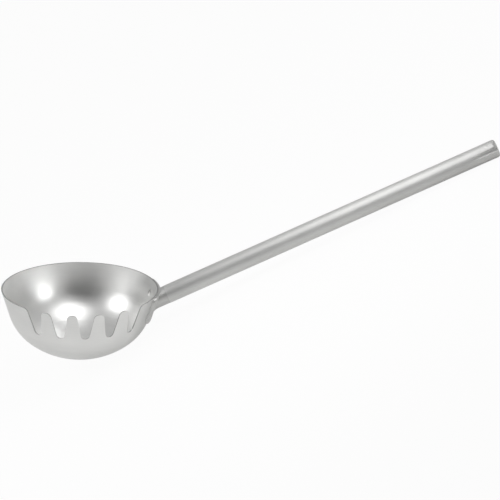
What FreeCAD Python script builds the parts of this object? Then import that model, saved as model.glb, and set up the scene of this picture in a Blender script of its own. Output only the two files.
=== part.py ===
import FreeCAD, Part
import math
import os

# A deep ladle for noodles: a spun bowl with a toothed side, a pressed plate with a neck that is
# spot-welded to the bowl's outside, and a tube handle butted on that neck. Everything is drawn
# with the bowl upright, its axis on Z, the middle of the rim at the origin and the handle
# towards +X. At the end the whole ladle is laid down as it rests on a table.
# Lengths are in millimetres and angles in degrees.

# Bowl
rim_diameter = 140.0
bowl_depth = 62.0
wall_flare_angle = 17.4
straight_wall_height = 22.6
shoulder_end_angle = 52.8
sheet_thickness = 1.2

# Toothed side: notches cut down from the rim, with the teeth left between them
notch_count = 5
notch_pitch_angle = 20.3
notch_side_angle = -90.0
notch_depth = 25.0
notch_mouth_width = 16.4
notch_bottom_radius = 4.0
tooth_tip_radius = 4.5

# Handle line
handle_root_depth = 12.3
handle_rise_angle = 23.9

# Plate and its neck
plate_width = 56.0
plate_top_depth = 1.0
plate_height = 24.5
plate_thickness = 2.0
plate_corner_radius = 4.0
neck_length = 13.0
neck_step = 0.2
neck_flare_radius = 13.0
neck_seat = 0.1
neck_bore_diameter = 10.0
spigot_length = 10.0
spigot_clearance = 0.05

# Spot welds beside the neck
weld_spacing = 32.0
weld_depth = 11.5
weld_mark_diameter = 6.0
weld_mark_depth = 0.4

# Tube
tube_diameter = 16.5
tube_wall = 1.0
tube_length = 322.0
tube_end_radius = 2.4

# Groove pressed into the end of the tube
groove_length = 25.0
groove_depth = 3.0
groove_radius = 2.7
groove_turn_angle = 13.0

# Room that a cutting body needs past what it cuts
overrun = 6.0

# Depth to which two shapes that become one piece run into each other
overlap = 1.0

# Sizes that follow from the driving ones
rim_radius = rim_diameter / 2
tube_radius = tube_diameter / 2
flare = math.radians(wall_flare_angle)
rise = math.radians(handle_rise_angle)
BOWL_AXIS = FreeCAD.Vector(0, 0, 1)
ORIGIN = FreeCAD.Vector(0, 0, 0)


def vec(x, y, z):
    return FreeCAD.Vector(x, y, z)


def polar(centre, radius, angle):
    """Point of a circle in the XZ plane; the angle is counted down from +X."""
    return vec(centre.x + radius * math.cos(angle), 0, centre.z - radius * math.sin(angle))


def wall_radius(depth):
    """Outside radius of the straight wall at a depth below the rim."""
    return rim_radius - depth * math.tan(flare)


# The outside of the bowl is a straight wall, a shoulder arc and a crown arc, each tangent to
# the next. The crown's centre lies on the bowl's axis. The two radii are what lets the arcs span
# the width and the depth that the straight wall leaves: two straight-line equations.
wall_end = vec(wall_radius(straight_wall_height), 0, -straight_wall_height)
crown_angle = math.radians(shoulder_end_angle)
shoulder_width = math.cos(flare) - math.cos(crown_angle)
shoulder_fall = math.sin(crown_angle) - math.sin(flare)
crown_width = math.cos(crown_angle)
crown_fall = 1 - math.sin(crown_angle)
depth_left = bowl_depth - straight_wall_height
determinant = shoulder_width * crown_fall - crown_width * shoulder_fall
shoulder_radius = (wall_end.x * crown_fall - crown_width * depth_left) / determinant
crown_radius = (shoulder_width * depth_left - wall_end.x * shoulder_fall) / determinant
shoulder_centre = vec(wall_end.x - shoulder_radius * math.cos(flare), 0,
                      wall_end.z + shoulder_radius * math.sin(flare))
crown_centre = vec(0, 0, crown_radius - bowl_depth)


def shell(inner_offset, outer_offset, top):
    """Bowl-shaped shell between two offsets from the bowl's outside, open at height top."""

    def side(offset):
        """Straight wall, shoulder arc and crown arc, offset outwards."""
        start = vec(rim_radius + offset / math.cos(flare) + top * math.tan(flare), 0, top)
        bend = polar(wall_end, offset, flare)
        join = polar(shoulder_centre, shoulder_radius + offset, crown_angle)
        pole = polar(crown_centre, crown_radius + offset, math.pi / 2)
        shoulder_middle = polar(shoulder_centre, shoulder_radius + offset,
                                (flare + crown_angle) / 2)
        crown_middle = polar(crown_centre, crown_radius + offset,
                             (crown_angle + math.pi / 2) / 2)
        pole.x = 0
        edges = [Part.LineSegment(start, bend).toShape(),
                 Part.Arc(bend, shoulder_middle, join).toShape(),
                 Part.Arc(join, crown_middle, pole).toShape()]
        return start, pole, edges

    outer_start, outer_pole, outer_edges = side(outer_offset)
    inner_start, inner_pole, inner_edges = side(inner_offset)
    edges = outer_edges + inner_edges
    edges.append(Part.LineSegment(outer_start, inner_start).toShape())
    edges.append(Part.LineSegment(outer_pole, inner_pole).toShape())
    face = Part.Face(Part.Wire(Part.__sortEdges__(edges)))
    return face.revolve(ORIGIN, BOWL_AXIS, 360)


def notch_cutter():
    """U-shaped notch that opens into the rim over two rounded tooth tips, pointing along +X."""
    half_mouth = notch_mouth_width / 2
    centre_depth = notch_depth - notch_bottom_radius
    reach = math.hypot(half_mouth, centre_depth)
    flank = math.atan2(half_mouth, centre_depth) - math.asin(notch_bottom_radius / reach)
    tangent = tooth_tip_radius / math.tan((math.pi / 2 + flank) / 2)
    tip = vec(0, half_mouth + tangent, -tooth_tip_radius)
    to_corner = vec(0, -tangent, tooth_tip_radius).normalize()

    tip_top = vec(0, half_mouth + tangent, 0)
    tip_middle = tip + to_corner * tooth_tip_radius
    tip_end = vec(0, half_mouth - tangent * math.sin(flank), -tangent * math.cos(flank))
    bottom_end = vec(0, notch_bottom_radius * math.cos(flank),
                     -centre_depth - notch_bottom_radius * math.sin(flank))
    bottom = vec(0, 0, -notch_depth)

    def other(point):
        return vec(point.x, -point.y, point.z)

    lift = vec(0, 0, overrun)
    edges = [Part.Arc(tip_top, tip_middle, tip_end).toShape(),
             Part.LineSegment(tip_end, bottom_end).toShape(),
             Part.Arc(bottom_end, bottom, other(bottom_end)).toShape(),
             Part.LineSegment(other(bottom_end), other(tip_end)).toShape(),
             Part.Arc(other(tip_end), other(tip_middle), other(tip_top)).toShape(),
             Part.LineSegment(other(tip_top), other(tip_top) + lift).toShape(),
             Part.LineSegment(other(tip_top) + lift, tip_top + lift).toShape(),
             Part.LineSegment(tip_top + lift, tip_top).toShape()]
    face = Part.Face(Part.Wire(edges))
    face.translate(vec(rim_radius / 2, 0, 0))
    return face.extrude(vec(rim_radius / 2 + overrun, 0, 0))


# Handle line: it starts on the bowl's outside and rises away from it in the XZ plane.
root = vec(wall_radius(handle_root_depth), 0, -handle_root_depth)
along = vec(math.cos(rise), 0, math.sin(rise))
across = vec(-math.sin(rise), 0, math.cos(rise))


def rod(radius, start, length):
    """Round bar on the handle line, starting at a distance from the root."""
    return Part.makeCylinder(radius, length, root + along * start, along)


def point(distance, height):
    """Point at a distance along the handle line and a height across it."""
    return root + along * distance + across * height


def bowl_body(offset):
    """Everything inside a surface offset from the bowl's outside, also above the rim."""
    top = neck_length
    wall_top = vec(rim_radius + offset / math.cos(flare) + top * math.tan(flare), 0, top)
    wall_foot_depth = bowl_depth
    wall_foot = vec(wall_radius(wall_foot_depth) + offset / math.cos(flare), 0, -wall_foot_depth)
    corners = [vec(0, 0, top), wall_top, wall_foot, vec(0, 0, -wall_foot_depth)]
    face = Part.Face(Part.makePolygon(corners + corners[:1]))
    body = face.revolve(ORIGIN, BOWL_AXIS, 360)
    body.rotate(ORIGIN, BOWL_AXIS, 180)
    return body


def make_neck():
    """Round neck on the handle line that flares into the plate on its lower side."""
    lean = flare + rise
    turn = math.pi / 2 - lean
    neck_radius = tube_radius - neck_step
    corner = (plate_thickness - neck_seat) / math.cos(lean) - neck_radius * math.tan(lean)
    arc_start = corner + neck_flare_radius * math.tan(turn / 2)
    inner_end = -rim_radius / 2

    def flare_point(angle):
        return point(arc_start - neck_flare_radius * math.sin(angle),
                     neck_radius + neck_flare_radius * (1 - math.cos(angle)))

    foot_radius = neck_radius + neck_flare_radius * (1 - math.cos(turn))
    edges = [Part.Arc(flare_point(0), flare_point(turn / 2), flare_point(turn)).toShape()]
    corners = [flare_point(turn), point(inner_end, foot_radius), point(inner_end, 0),
               point(neck_length, 0), point(neck_length, neck_radius), flare_point(0)]
    for start, end in zip(corners[:-1], corners[1:]):
        edges.append(Part.LineSegment(start, end).toShape())
    face = Part.Face(Part.Wire(Part.__sortEdges__(edges)))
    neck = face.revolve(root, along, 360)
    return neck.cut(bowl_body(plate_thickness / 2))


def weld_mark(side, depth_from_face, outwards):
    """Ball that presses the dimple of one spot weld into a face of the wall."""
    mark_radius = weld_mark_diameter / 2
    ball_radius = (mark_radius ** 2 + weld_mark_depth ** 2) / (2 * weld_mark_depth)
    radius = wall_radius(weld_depth)
    turn = math.asin(side * weld_spacing / 2 / radius)
    normal = vec(math.cos(flare) * math.cos(turn), math.cos(flare) * math.sin(turn),
                 -math.sin(flare))
    spot = vec(radius * math.cos(turn), radius * math.sin(turn), -weld_depth)
    face_point = spot + normal * depth_from_face
    centre = face_point + normal * (outwards * (ball_radius - weld_mark_depth))
    return Part.makeSphere(ball_radius, centre)


def make_bowl():
    """Spun bowl with the notches of its toothed side and the weld marks inside."""
    bowl = shell(-sheet_thickness, 0, 0)
    bowl.rotate(ORIGIN, BOWL_AXIS, 180)
    for number in range(notch_count):
        cutter = notch_cutter()
        steps = number - (notch_count - 1) / 2
        cutter.rotate(ORIGIN, BOWL_AXIS, notch_side_angle + steps * notch_pitch_angle)
        bowl = bowl.cut(cutter)
    for side in (-1, 1):
        bowl = bowl.cut(weld_mark(side, -sheet_thickness, -1))
    return bowl


def make_handle_plate():
    """Plate that lies on the bowl's wall, with the neck and the spigot for the tube."""
    sheet = shell(0, plate_thickness, 0)
    sheet.rotate(ORIGIN, BOWL_AXIS, 180)
    bottom = -plate_top_depth - plate_height
    outline = Part.makeBox(rim_radius, plate_width, plate_height,
                           vec(rim_radius / 2, -plate_width / 2, bottom))
    corners = [edge for edge in outline.Edges
               if abs(edge.tangentAt(edge.FirstParameter).x) > math.cos(flare)]
    outline = outline.makeFillet(plate_corner_radius, corners)
    plate = sheet.common(outline)
    spigot_radius = tube_radius - tube_wall - spigot_clearance
    spigot = rod(spigot_radius, neck_length - overlap, spigot_length + overlap)
    plate = plate.fuse([make_neck(), spigot])
    bore_start = neck_length - neck_bore_diameter / 2
    plate = plate.cut(rod(neck_bore_diameter / 2, bore_start, spigot_length + neck_length))
    for side in (-1, 1):
        plate = plate.cut(weld_mark(side, plate_thickness, 1))
    return plate.removeSplitter()


def rounded_end(bar, end, radius):
    """Round the edge at the far end of a bar on the handle line."""
    for edge in bar.Edges:
        closed_circle = isinstance(edge.Curve, Part.Circle)
        if closed_circle and (edge.CenterOfMass - point(end, 0)).Length < overlap / 10:
            return bar.makeFillet(radius, [edge])
    return bar


def groove_roller(radius):
    """Round bar whose side leaves the groove at the end of the tube."""
    turn = math.radians(groove_turn_angle)
    sideways = vec(0, -1, 0) * math.cos(turn) + across * math.sin(turn)
    tube_end = neck_length + tube_length
    deep = point(tube_end, 0) + sideways * (tube_radius - groove_depth + groove_radius)
    shallow = point(tube_end - groove_length, 0) + sideways * (tube_radius + groove_radius)
    direction = (deep - shallow).normalize()
    length = (deep - shallow).Length + 2 * overrun
    return Part.makeCylinder(radius, length, shallow - direction * overrun, direction)


def make_handle_tube():
    """Tube that butts on the neck, closed and grooved at its far end."""
    tube = rod(tube_radius, neck_length, tube_length)
    tube = rounded_end(tube, neck_length + tube_length, tube_end_radius)
    tube = tube.cut(groove_roller(groove_radius))
    inside_length = tube_length - tube_wall
    inside = rod(tube_radius - tube_wall, neck_length, inside_length)
    inside = rounded_end(inside, neck_length + inside_length, tube_end_radius - tube_wall)
    inside = inside.cut(groove_roller(groove_radius + tube_wall))
    return tube.cut(inside)


def rest_angle():
    """Angle by which the handle comes down until bowl and handle end touch one flat surface."""
    end_centre = point(neck_length + tube_length - tube_end_radius,
                       tube_end_radius - tube_radius)
    reach = end_centre - crown_centre
    drop = math.asin((crown_radius - tube_end_radius) / reach.Length)
    return math.degrees(math.atan2(reach.z, reach.x) + drop)


def laid_down(parts):
    """Tilt the upright ladle to its rest and put the middle of its box over the origin."""
    for part in parts:
        part.rotate(ORIGIN, vec(0, 1, 0), rest_angle())
    box = FreeCAD.BoundBox()
    for part in parts:
        box.add(part.optimalBoundingBox(False, False))
    tilt = FreeCAD.Rotation(vec(0, 1, 0), rest_angle())
    lowest = tilt.multVec(crown_centre).z - crown_radius
    for part in parts:
        part.translate(vec(-box.Center.x, -box.Center.y, -lowest))
    return parts


names = ["bowl", "handle_plate", "handle_tube"]
shapes = laid_down([part.Solids[0] for part in (make_bowl(), make_handle_plate(), make_handle_tube())])
os.makedirs("parts", exist_ok=True)
for name, shape in zip(names, shapes):
    shape.exportStep("parts/" + name + ".step")
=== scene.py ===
import math
import bpy
from mathutils import Matrix, Vector

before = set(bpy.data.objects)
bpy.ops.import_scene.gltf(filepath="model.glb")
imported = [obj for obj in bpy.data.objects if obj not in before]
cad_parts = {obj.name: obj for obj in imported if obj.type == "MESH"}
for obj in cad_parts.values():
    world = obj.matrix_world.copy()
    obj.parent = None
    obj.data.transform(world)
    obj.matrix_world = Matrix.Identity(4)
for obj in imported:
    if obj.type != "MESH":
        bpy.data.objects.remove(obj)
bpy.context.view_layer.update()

# The ladle lies at rest as the solids say. Its bowl is tilted there, so the camera, the lights
# and the rings of the bowl's finish are set in the bowl's own frame: axis on Z, handle towards
# +X, the middle of the rim at the origin. All lengths are in metres.

# Bowl
rim_radius = 0.070
bowl_depth = 0.062
crown_radius = 0.0763
crown_centre_height = crown_radius - bowl_depth

# Handle root and spot welds on the bowl's wall, as distance from the axis, offset sideways and
# height over the rim, then the radius of a weld's mark and the width of its soft edge
handle_root = (0.066, 0.0, -0.012)
handle_rise = math.radians(23.9)
weld_spots = ((0.0645, 0.016, -0.0115), (0.0645, -0.016, -0.0115))
weld_mark_radius = 0.003
weld_mark_edge = 0.00045

# Painted shade round the handle's root, for its darker reflections: how far it reaches, where it
# starts to fade as a share of that, and between which heights it fades inside the bowl
painted_shade_reach_inside = 0.043
painted_shade_reach_outside = 0.054
painted_shade_fade_start = 0.7
painted_shade_top = -0.006
painted_shade_bottom = -0.014
painted_shade_tone_inside = 0.80
painted_shade_tone_outside = 0.77

# Photograph: width of its frame, place of the rim's centre in it and direction of the view
frame_width = 0.44475
picture_pixels = 500
rim_centre_column = 79.8
rim_centre_row = 289.1
view_elevation = math.radians(20.1)
view_turn = math.radians(4.5)
camera_distance = 1.5
camera_reach = 10.0

# Softboxes: direction seen from the bowl as (right, up, towards the camera), distance, size,
# power in watts and spread in degrees
softboxes = {
    "softbox_left": ((-0.87, 0.37, 0.33), 0.9, 0.38, 1.8, 180),
    "softbox_low": ((0.90, 0.02, 0.43), 0.26, 0.05, 0.023, 60),
    "softbox_over": ((0.22, 0.75, 0.61), 0.46, 0.32, 0.72, 180),
    "softbox_back": ((0.40, 0.89, -0.20), 0.9, 0.18, 0.3, 180),
}

# Room: brightness that the steel sees round it, and the dark side where the camera stands, with
# the cosines of the angles where it begins to fade (inner) and where it ends (outer)
room_grey = 0.47
dark_grey = 0.01
dark_side = (-0.09, -0.18, 0.98)
dark_side_inner = 0.89
dark_side_outer = 0.78
white = (1.0, 1.0, 1.0, 1.0)

# Floor: white to the camera, less so to what mirrors it, and darker in front and at the handle
floor_colour = (0.86, 0.86, 0.85, 1.0)
floor_seen_share = 0.95
floor_mirrored_share = 0.42
floor_far_share = 0.1
floor_fade_start = 0.1
floor_fade_end = 0.5
floor_side_share = 0.1
floor_side_start = 0.06
floor_side_end = 0.38
floor_size = 6.0

# Steel, as linear colours, and the share of its tone that the bowl's cut edges keep, as painted
# shade for the dark they mirror
bowl_steel = (0.80, 0.80, 0.79)
plate_steel = (0.60, 0.60, 0.59)
tube_steel = (0.72, 0.72, 0.71)
painted_edge_shade = 0.6

# Roughness: the inside of the bowl is smooth at the bottom and duller towards the rim
inside_roughness = 0.36
rim_roughness = 0.62
smooth_height = -0.022
outside_roughness = 0.45
weld_mark_roughness = 0.10
plate_roughness = 0.50
tube_roughness = 0.50
tube_anisotropy = 0.65

# Grain and mottle: waves per metre, the range that most of a noise lies in, how much the grain
# changes roughness and tone, how much the mottle changes tone, and the height of the grain.
# The tube's grain is drawn out along X.
bowl_grain = 1400.0
plate_grain = 900.0
tube_grain = 1500.0
tube_grain_stretch = (0.03, 1.0, 1.0)
grain_detail = 3.0
bowl_mottle = 35.0
plate_mottle = 90.0
tube_mottle = 40.0
mottle_detail = 2.0
noise_low = 0.3
noise_high = 0.7
bowl_grain_roughness = 0.03
plate_grain_roughness = 0.04
tube_grain_roughness = 0.02
grain_tone = 0.02
mottle_tone = 0.03
bowl_grain_height = 0.00001
plate_grain_height = 0.00002
tube_grain_height = 0.000005
grain_bump = 0.25

# How squarely a face of the bowl looks away from the crown's centre, as a cosine: where inside
# turns to outside, and, looking either way, where a cut edge turns to a face of the sheet
side_change = 0.01
edge_low = 0.5
edge_high = 0.6

no_vector = (0.0, 0.0, 0.0)


def highest_rim_point():
    """Point of the tilted rim that is farthest from the handle, and highest."""
    corners = [vertex.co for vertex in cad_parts["bowl"].data.vertices]
    return max(corners, key=lambda corner: corner.z)


rim_top = highest_rim_point()
bowl_tilt = (math.atan2(crown_centre_height, rim_radius)
             + math.asin((rim_top.z - crown_radius) / math.hypot(rim_radius, crown_centre_height)))
centre = rim_top + Vector((math.cos(bowl_tilt), 0, -math.sin(bowl_tilt))) * rim_radius
bowl_to_row = Matrix.Rotation(bowl_tilt, 3, "Y")
bowl_axis = bowl_to_row @ Vector((0, 0, 1))
tube_axis = bowl_to_row @ Vector((math.cos(handle_rise), 0, math.sin(handle_rise)))
view_back = bowl_to_row @ Vector((-math.sin(view_turn) * math.cos(view_elevation),
                                  -math.cos(view_turn) * math.cos(view_elevation),
                                  math.sin(view_elevation)))
view_right = bowl_to_row @ Vector((math.cos(view_turn), -math.sin(view_turn), 0))
view_up = view_back.cross(view_right)


def seen_from_camera(right, up, back):
    """Direction in the row frame from its parts along the picture and towards the camera."""
    return (view_right * right + view_up * up + view_back * back).normalized()


def on_the_bowl(spot):
    """Point in the row frame from a point in the bowl's own frame."""
    return centre + bowl_to_row @ Vector(spot)


class Nodes:
    """Short way to write a node tree."""

    def __init__(self, tree):
        self.tree = tree
        tree.nodes.clear()

    def add(self, kind, **settings):
        node = self.tree.nodes.new(kind)
        for name, value in settings.items():
            setattr(node, name, value)
        return node

    def link(self, output, target):
        self.tree.links.new(output, target)

    def fill(self, target, value):
        """Set an input, or link it where the value is another node's output."""
        if isinstance(value, bpy.types.NodeSocket):
            self.link(value, target)
        else:
            target.default_value = value

    def maths(self, operation, first, second=0.0):
        node = self.add("ShaderNodeMath", operation=operation)
        self.fill(node.inputs[0], first)
        self.fill(node.inputs[1], second)
        return node.outputs[0]

    def vector(self, operation, first, second=no_vector):
        node = self.add("ShaderNodeVectorMath", operation=operation)
        self.fill(node.inputs[0], first)
        self.fill(node.inputs[1], second)
        name = "Value" if operation in ("DOT_PRODUCT", "LENGTH", "DISTANCE") else "Vector"
        return node.outputs[name]

    def remap(self, value, from_low, from_high, to_low, to_high):
        node = self.add("ShaderNodeMapRange", clamp=True)
        self.fill(node.inputs["Value"], value)
        node.inputs["From Min"].default_value = from_low
        node.inputs["From Max"].default_value = from_high
        self.fill(node.inputs["To Min"], to_low)
        self.fill(node.inputs["To Max"], to_high)
        return node.outputs["Result"]

    def noise(self, place, waves, detail):
        node = self.add("ShaderNodeTexNoise")
        self.fill(node.inputs["Vector"], place)
        node.inputs["Scale"].default_value = waves
        node.inputs["Detail"].default_value = detail
        return node.outputs["Fac"]

    def mottle(self, place, waves):
        """Brightness that drifts slightly from place to place."""
        return self.remap(self.noise(place, waves, mottle_detail), noise_low, noise_high,
                          1 - mottle_tone, 1 + mottle_tone)

    def combine(self, x, y, z):
        node = self.add("ShaderNodeCombineXYZ")
        for socket, value in zip(node.inputs, (x, y, z)):
            self.fill(socket, value)
        return node.outputs[0]

    def shaded(self, colour, brightness):
        """Colour times a brightness."""
        node = self.add("ShaderNodeVectorMath", operation="SCALE")
        node.inputs[0].default_value = colour
        self.fill(node.inputs["Scale"], brightness)
        return node.outputs["Vector"]


def metal(name):
    """New material with its node tree and a metal shader."""
    material = bpy.data.materials.new(name)
    material.use_nodes = True
    nodes = Nodes(material.node_tree)
    output = nodes.add("ShaderNodeOutputMaterial")
    shader = nodes.add("ShaderNodeBsdfPrincipled")
    nodes.link(shader.outputs[0], output.inputs["Surface"])
    shader.inputs["Metallic"].default_value = 1.0
    return material, nodes, shader


def steel_finish(nodes, shader, colour, grain, mottle, roughness, grain_roughness, grain_height):
    """Steel whose fine grain shows in its roughness, its tone and a slight bump."""
    tone = nodes.maths("ADD", nodes.remap(grain, noise_low, noise_high, -grain_tone, grain_tone),
                       mottle)
    nodes.link(nodes.shaded(colour, tone), shader.inputs["Base Color"])
    change = nodes.remap(grain, noise_low, noise_high, -grain_roughness, grain_roughness)
    nodes.link(nodes.maths("ADD", roughness, change), shader.inputs["Roughness"])
    bump = nodes.add("ShaderNodeBump")
    bump.inputs["Strength"].default_value = grain_bump
    bump.inputs["Distance"].default_value = grain_height
    nodes.link(grain, bump.inputs["Height"])
    nodes.link(bump.outputs["Normal"], shader.inputs["Normal"])


def painted_shade_near_handle(nodes, position, height, facing_out):
    """Painted shade: the steel's colour darkened round the handle's root, where its reflections
    are darker.

    Inside the bowl it stays near the rim.
    """
    away = nodes.vector("DISTANCE", position, on_the_bowl(handle_root))
    near_rim = nodes.remap(height, painted_shade_bottom, painted_shade_top, 1.0, painted_shade_tone_inside)
    inside = nodes.remap(away, painted_shade_reach_inside * painted_shade_fade_start, painted_shade_reach_inside,
                         near_rim, 1.0)
    outside = nodes.remap(away, painted_shade_reach_outside * painted_shade_fade_start, painted_shade_reach_outside,
                          painted_shade_tone_outside, 1.0)
    return nodes.remap(facing_out, -side_change, side_change, inside, outside)


def bowl_roughness(nodes, position, height, facing_out):
    """Roughness inside and outside, with the smooth print of the electrode on each weld."""
    inside = nodes.remap(height, smooth_height, 0.0, inside_roughness, rim_roughness)
    roughness = nodes.remap(facing_out, -side_change, side_change, inside, outside_roughness)
    for spot in weld_spots:
        away = nodes.vector("DISTANCE", position, on_the_bowl(spot))
        roughness = nodes.remap(away, weld_mark_radius, weld_mark_radius + weld_mark_edge,
                                weld_mark_roughness, roughness)
    return roughness


def spun_steel():
    """Bowl: fine rings from spinning and polishing, satin inside and duller outside."""
    material, nodes, shader = metal("spun_steel")
    geometry = nodes.add("ShaderNodeNewGeometry")
    position = geometry.outputs["Position"]
    place = nodes.vector("SUBTRACT", position, centre)
    height = nodes.vector("DOT_PRODUCT", place, bowl_axis)
    from_axis = nodes.vector("LENGTH", nodes.vector("CROSS_PRODUCT", place, bowl_axis))
    grain = nodes.noise(nodes.combine(from_axis, height, 0.0), bowl_grain, grain_detail)
    crown_centre = centre + bowl_axis * crown_centre_height
    outwards = nodes.vector("NORMALIZE", nodes.vector("SUBTRACT", position, crown_centre))
    facing_out = nodes.vector("DOT_PRODUCT", outwards, geometry.outputs["True Normal"])
    # Painted shade: cut edges of rim, notches and teeth get a darker colour for the dark they
    # mirror
    painted_edge_tone = nodes.remap(nodes.maths("ABSOLUTE", facing_out), edge_low, edge_high,
                            painted_edge_shade, 1.0)
    # Painted shade: the colour is darkened round the handle's root and along the cut edges
    painted_shade = nodes.maths("MULTIPLY", painted_shade_near_handle(nodes, position, height, facing_out), painted_edge_tone)
    mottle = nodes.maths("MULTIPLY", nodes.mottle(place, bowl_mottle), painted_shade)
    steel_finish(nodes, shader, bowl_steel, grain, mottle,
                 bowl_roughness(nodes, position, height, facing_out),
                 bowl_grain_roughness, bowl_grain_height)
    return material


def pressed_steel():
    """Plate and neck: pressed sheet with an even grain."""
    material, nodes, shader = metal("pressed_steel")
    place = nodes.add("ShaderNodeNewGeometry").outputs["Position"]
    grain = nodes.noise(place, plate_grain, grain_detail)
    steel_finish(nodes, shader, plate_steel, grain, nodes.mottle(place, plate_mottle),
                 plate_roughness, plate_grain_roughness, plate_grain_height)
    return material


def drawn_steel():
    """Tube: polished along its length, so that what it mirrors spreads out round it."""
    material, nodes, shader = metal("drawn_steel")
    geometry = nodes.add("ShaderNodeNewGeometry")
    place = geometry.outputs["Position"]
    shader.inputs["Anisotropic"].default_value = tube_anisotropy
    nodes.link(nodes.vector("CROSS_PRODUCT", geometry.outputs["Normal"], tube_axis),
               shader.inputs["Tangent"])
    stretched = nodes.vector("MULTIPLY", place, tube_grain_stretch)
    grain = nodes.noise(stretched, tube_grain, grain_detail)
    steel_finish(nodes, shader, tube_steel, grain, nodes.mottle(place, tube_mottle),
                 tube_roughness, tube_grain_roughness, tube_grain_height)
    return material


def dress(node, material):
    """Give a solid its finish."""
    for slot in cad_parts[node].material_slots:
        slot.material = material


def backdrop_share(nodes):
    """How far the floor looks plain white: much to the camera, partly to what mirrors it."""
    place = nodes.vector("SUBTRACT", nodes.add("ShaderNodeNewGeometry").outputs["Position"],
                         centre)
    forwards = nodes.vector("DOT_PRODUCT", place, view_back)
    sideways = nodes.vector("DOT_PRODUCT", place, view_right)
    front_share = nodes.remap(forwards, floor_fade_start, floor_fade_end,
                              floor_mirrored_share, floor_far_share)
    side_share = nodes.remap(sideways, floor_side_start, floor_side_end, 1.0, floor_side_share)
    mirrored_share = nodes.maths("MULTIPLY", front_share, side_share)
    path = nodes.add("ShaderNodeLightPath")
    mirrored = nodes.maths("MAXIMUM", path.outputs["Is Glossy Ray"],
                           path.outputs["Is Transmission Ray"])
    return nodes.maths("ADD",
                       nodes.maths("MULTIPLY", path.outputs["Is Camera Ray"], floor_seen_share),
                       nodes.maths("MULTIPLY", mirrored, mirrored_share))


def make_floor():
    """Pale floor that looks white and keeps a faint shadow of the ladle."""
    bpy.ops.mesh.primitive_plane_add(size=floor_size, location=(0, 0, 0))
    floor = bpy.context.object
    floor.name = "floor"
    material = bpy.data.materials.new("floor")
    material.use_nodes = True
    nodes = Nodes(material.node_tree)
    output = nodes.add("ShaderNodeOutputMaterial")
    matt = nodes.add("ShaderNodeBsdfDiffuse")
    matt.inputs["Color"].default_value = floor_colour
    glow = nodes.add("ShaderNodeEmission")
    glow.inputs["Color"].default_value = white
    mix = nodes.add("ShaderNodeMixShader")
    nodes.link(backdrop_share(nodes), mix.inputs[0])
    nodes.link(matt.outputs[0], mix.inputs[1])
    nodes.link(glow.outputs[0], mix.inputs[2])
    nodes.link(mix.outputs[0], output.inputs["Surface"])
    floor.data.materials.append(material)


def make_room():
    """Grey room that the steel reflects, darker behind the camera, and white to the camera."""
    world = bpy.data.worlds.new("room")
    bpy.context.scene.world = world
    world.use_nodes = True
    nodes = Nodes(world.node_tree)
    output = nodes.add("ShaderNodeOutputWorld")
    background = nodes.add("ShaderNodeBackground")
    background.inputs["Color"].default_value = white
    direction = nodes.add("ShaderNodeTexCoord").outputs["Generated"]
    towards_dark = nodes.vector("DOT_PRODUCT", direction, seen_from_camera(*dark_side))
    room = nodes.remap(towards_dark, dark_side_outer, dark_side_inner, room_grey, dark_grey)
    camera_ray = nodes.add("ShaderNodeLightPath").outputs["Is Camera Ray"]
    nodes.link(nodes.maths("MAXIMUM", room, camera_ray), background.inputs["Strength"])
    nodes.link(background.outputs[0], output.inputs["Surface"])


def make_softbox(name, direction, distance, size, power, spread):
    """Square lamp that faces the bowl."""
    data = bpy.data.lights.new(name, "AREA")
    data.shape = "SQUARE"
    data.size = size
    data.energy = power
    data.spread = math.radians(spread)
    lamp = bpy.data.objects.new(name, data)
    lamp.visible_camera = False
    bpy.context.collection.objects.link(lamp)
    towards = seen_from_camera(*direction)
    lamp.location = centre + towards * distance
    lamp.rotation_euler = towards.to_track_quat("Z", "Y").to_euler()


def make_camera():
    """Camera at the photograph's angle: the bowl's rim is level in the picture."""
    data = bpy.data.cameras.new("camera")
    data.type = "ORTHO"
    data.ortho_scale = frame_width
    data.clip_end = camera_reach
    camera = bpy.data.objects.new("camera", data)
    bpy.context.collection.objects.link(camera)
    pixel = frame_width / picture_pixels
    middle = picture_pixels / 2
    target = (centre + view_right * (middle - rim_centre_column) * pixel
              + view_up * (rim_centre_row - middle) * pixel)
    turned = Matrix((view_right, view_up, view_back)).transposed().to_4x4()
    camera.matrix_world = Matrix.Translation(target + view_back * camera_distance) @ turned
    bpy.context.scene.camera = camera


make_camera()
make_floor()
make_room()
for softbox_name, softbox in softboxes.items():
    make_softbox(softbox_name, *softbox)
dress("bowl", spun_steel())
dress("handle_plate", pressed_steel())
dress("handle_tube", drawn_steel())

bpy.context.scene.view_settings.view_transform = "Standard"
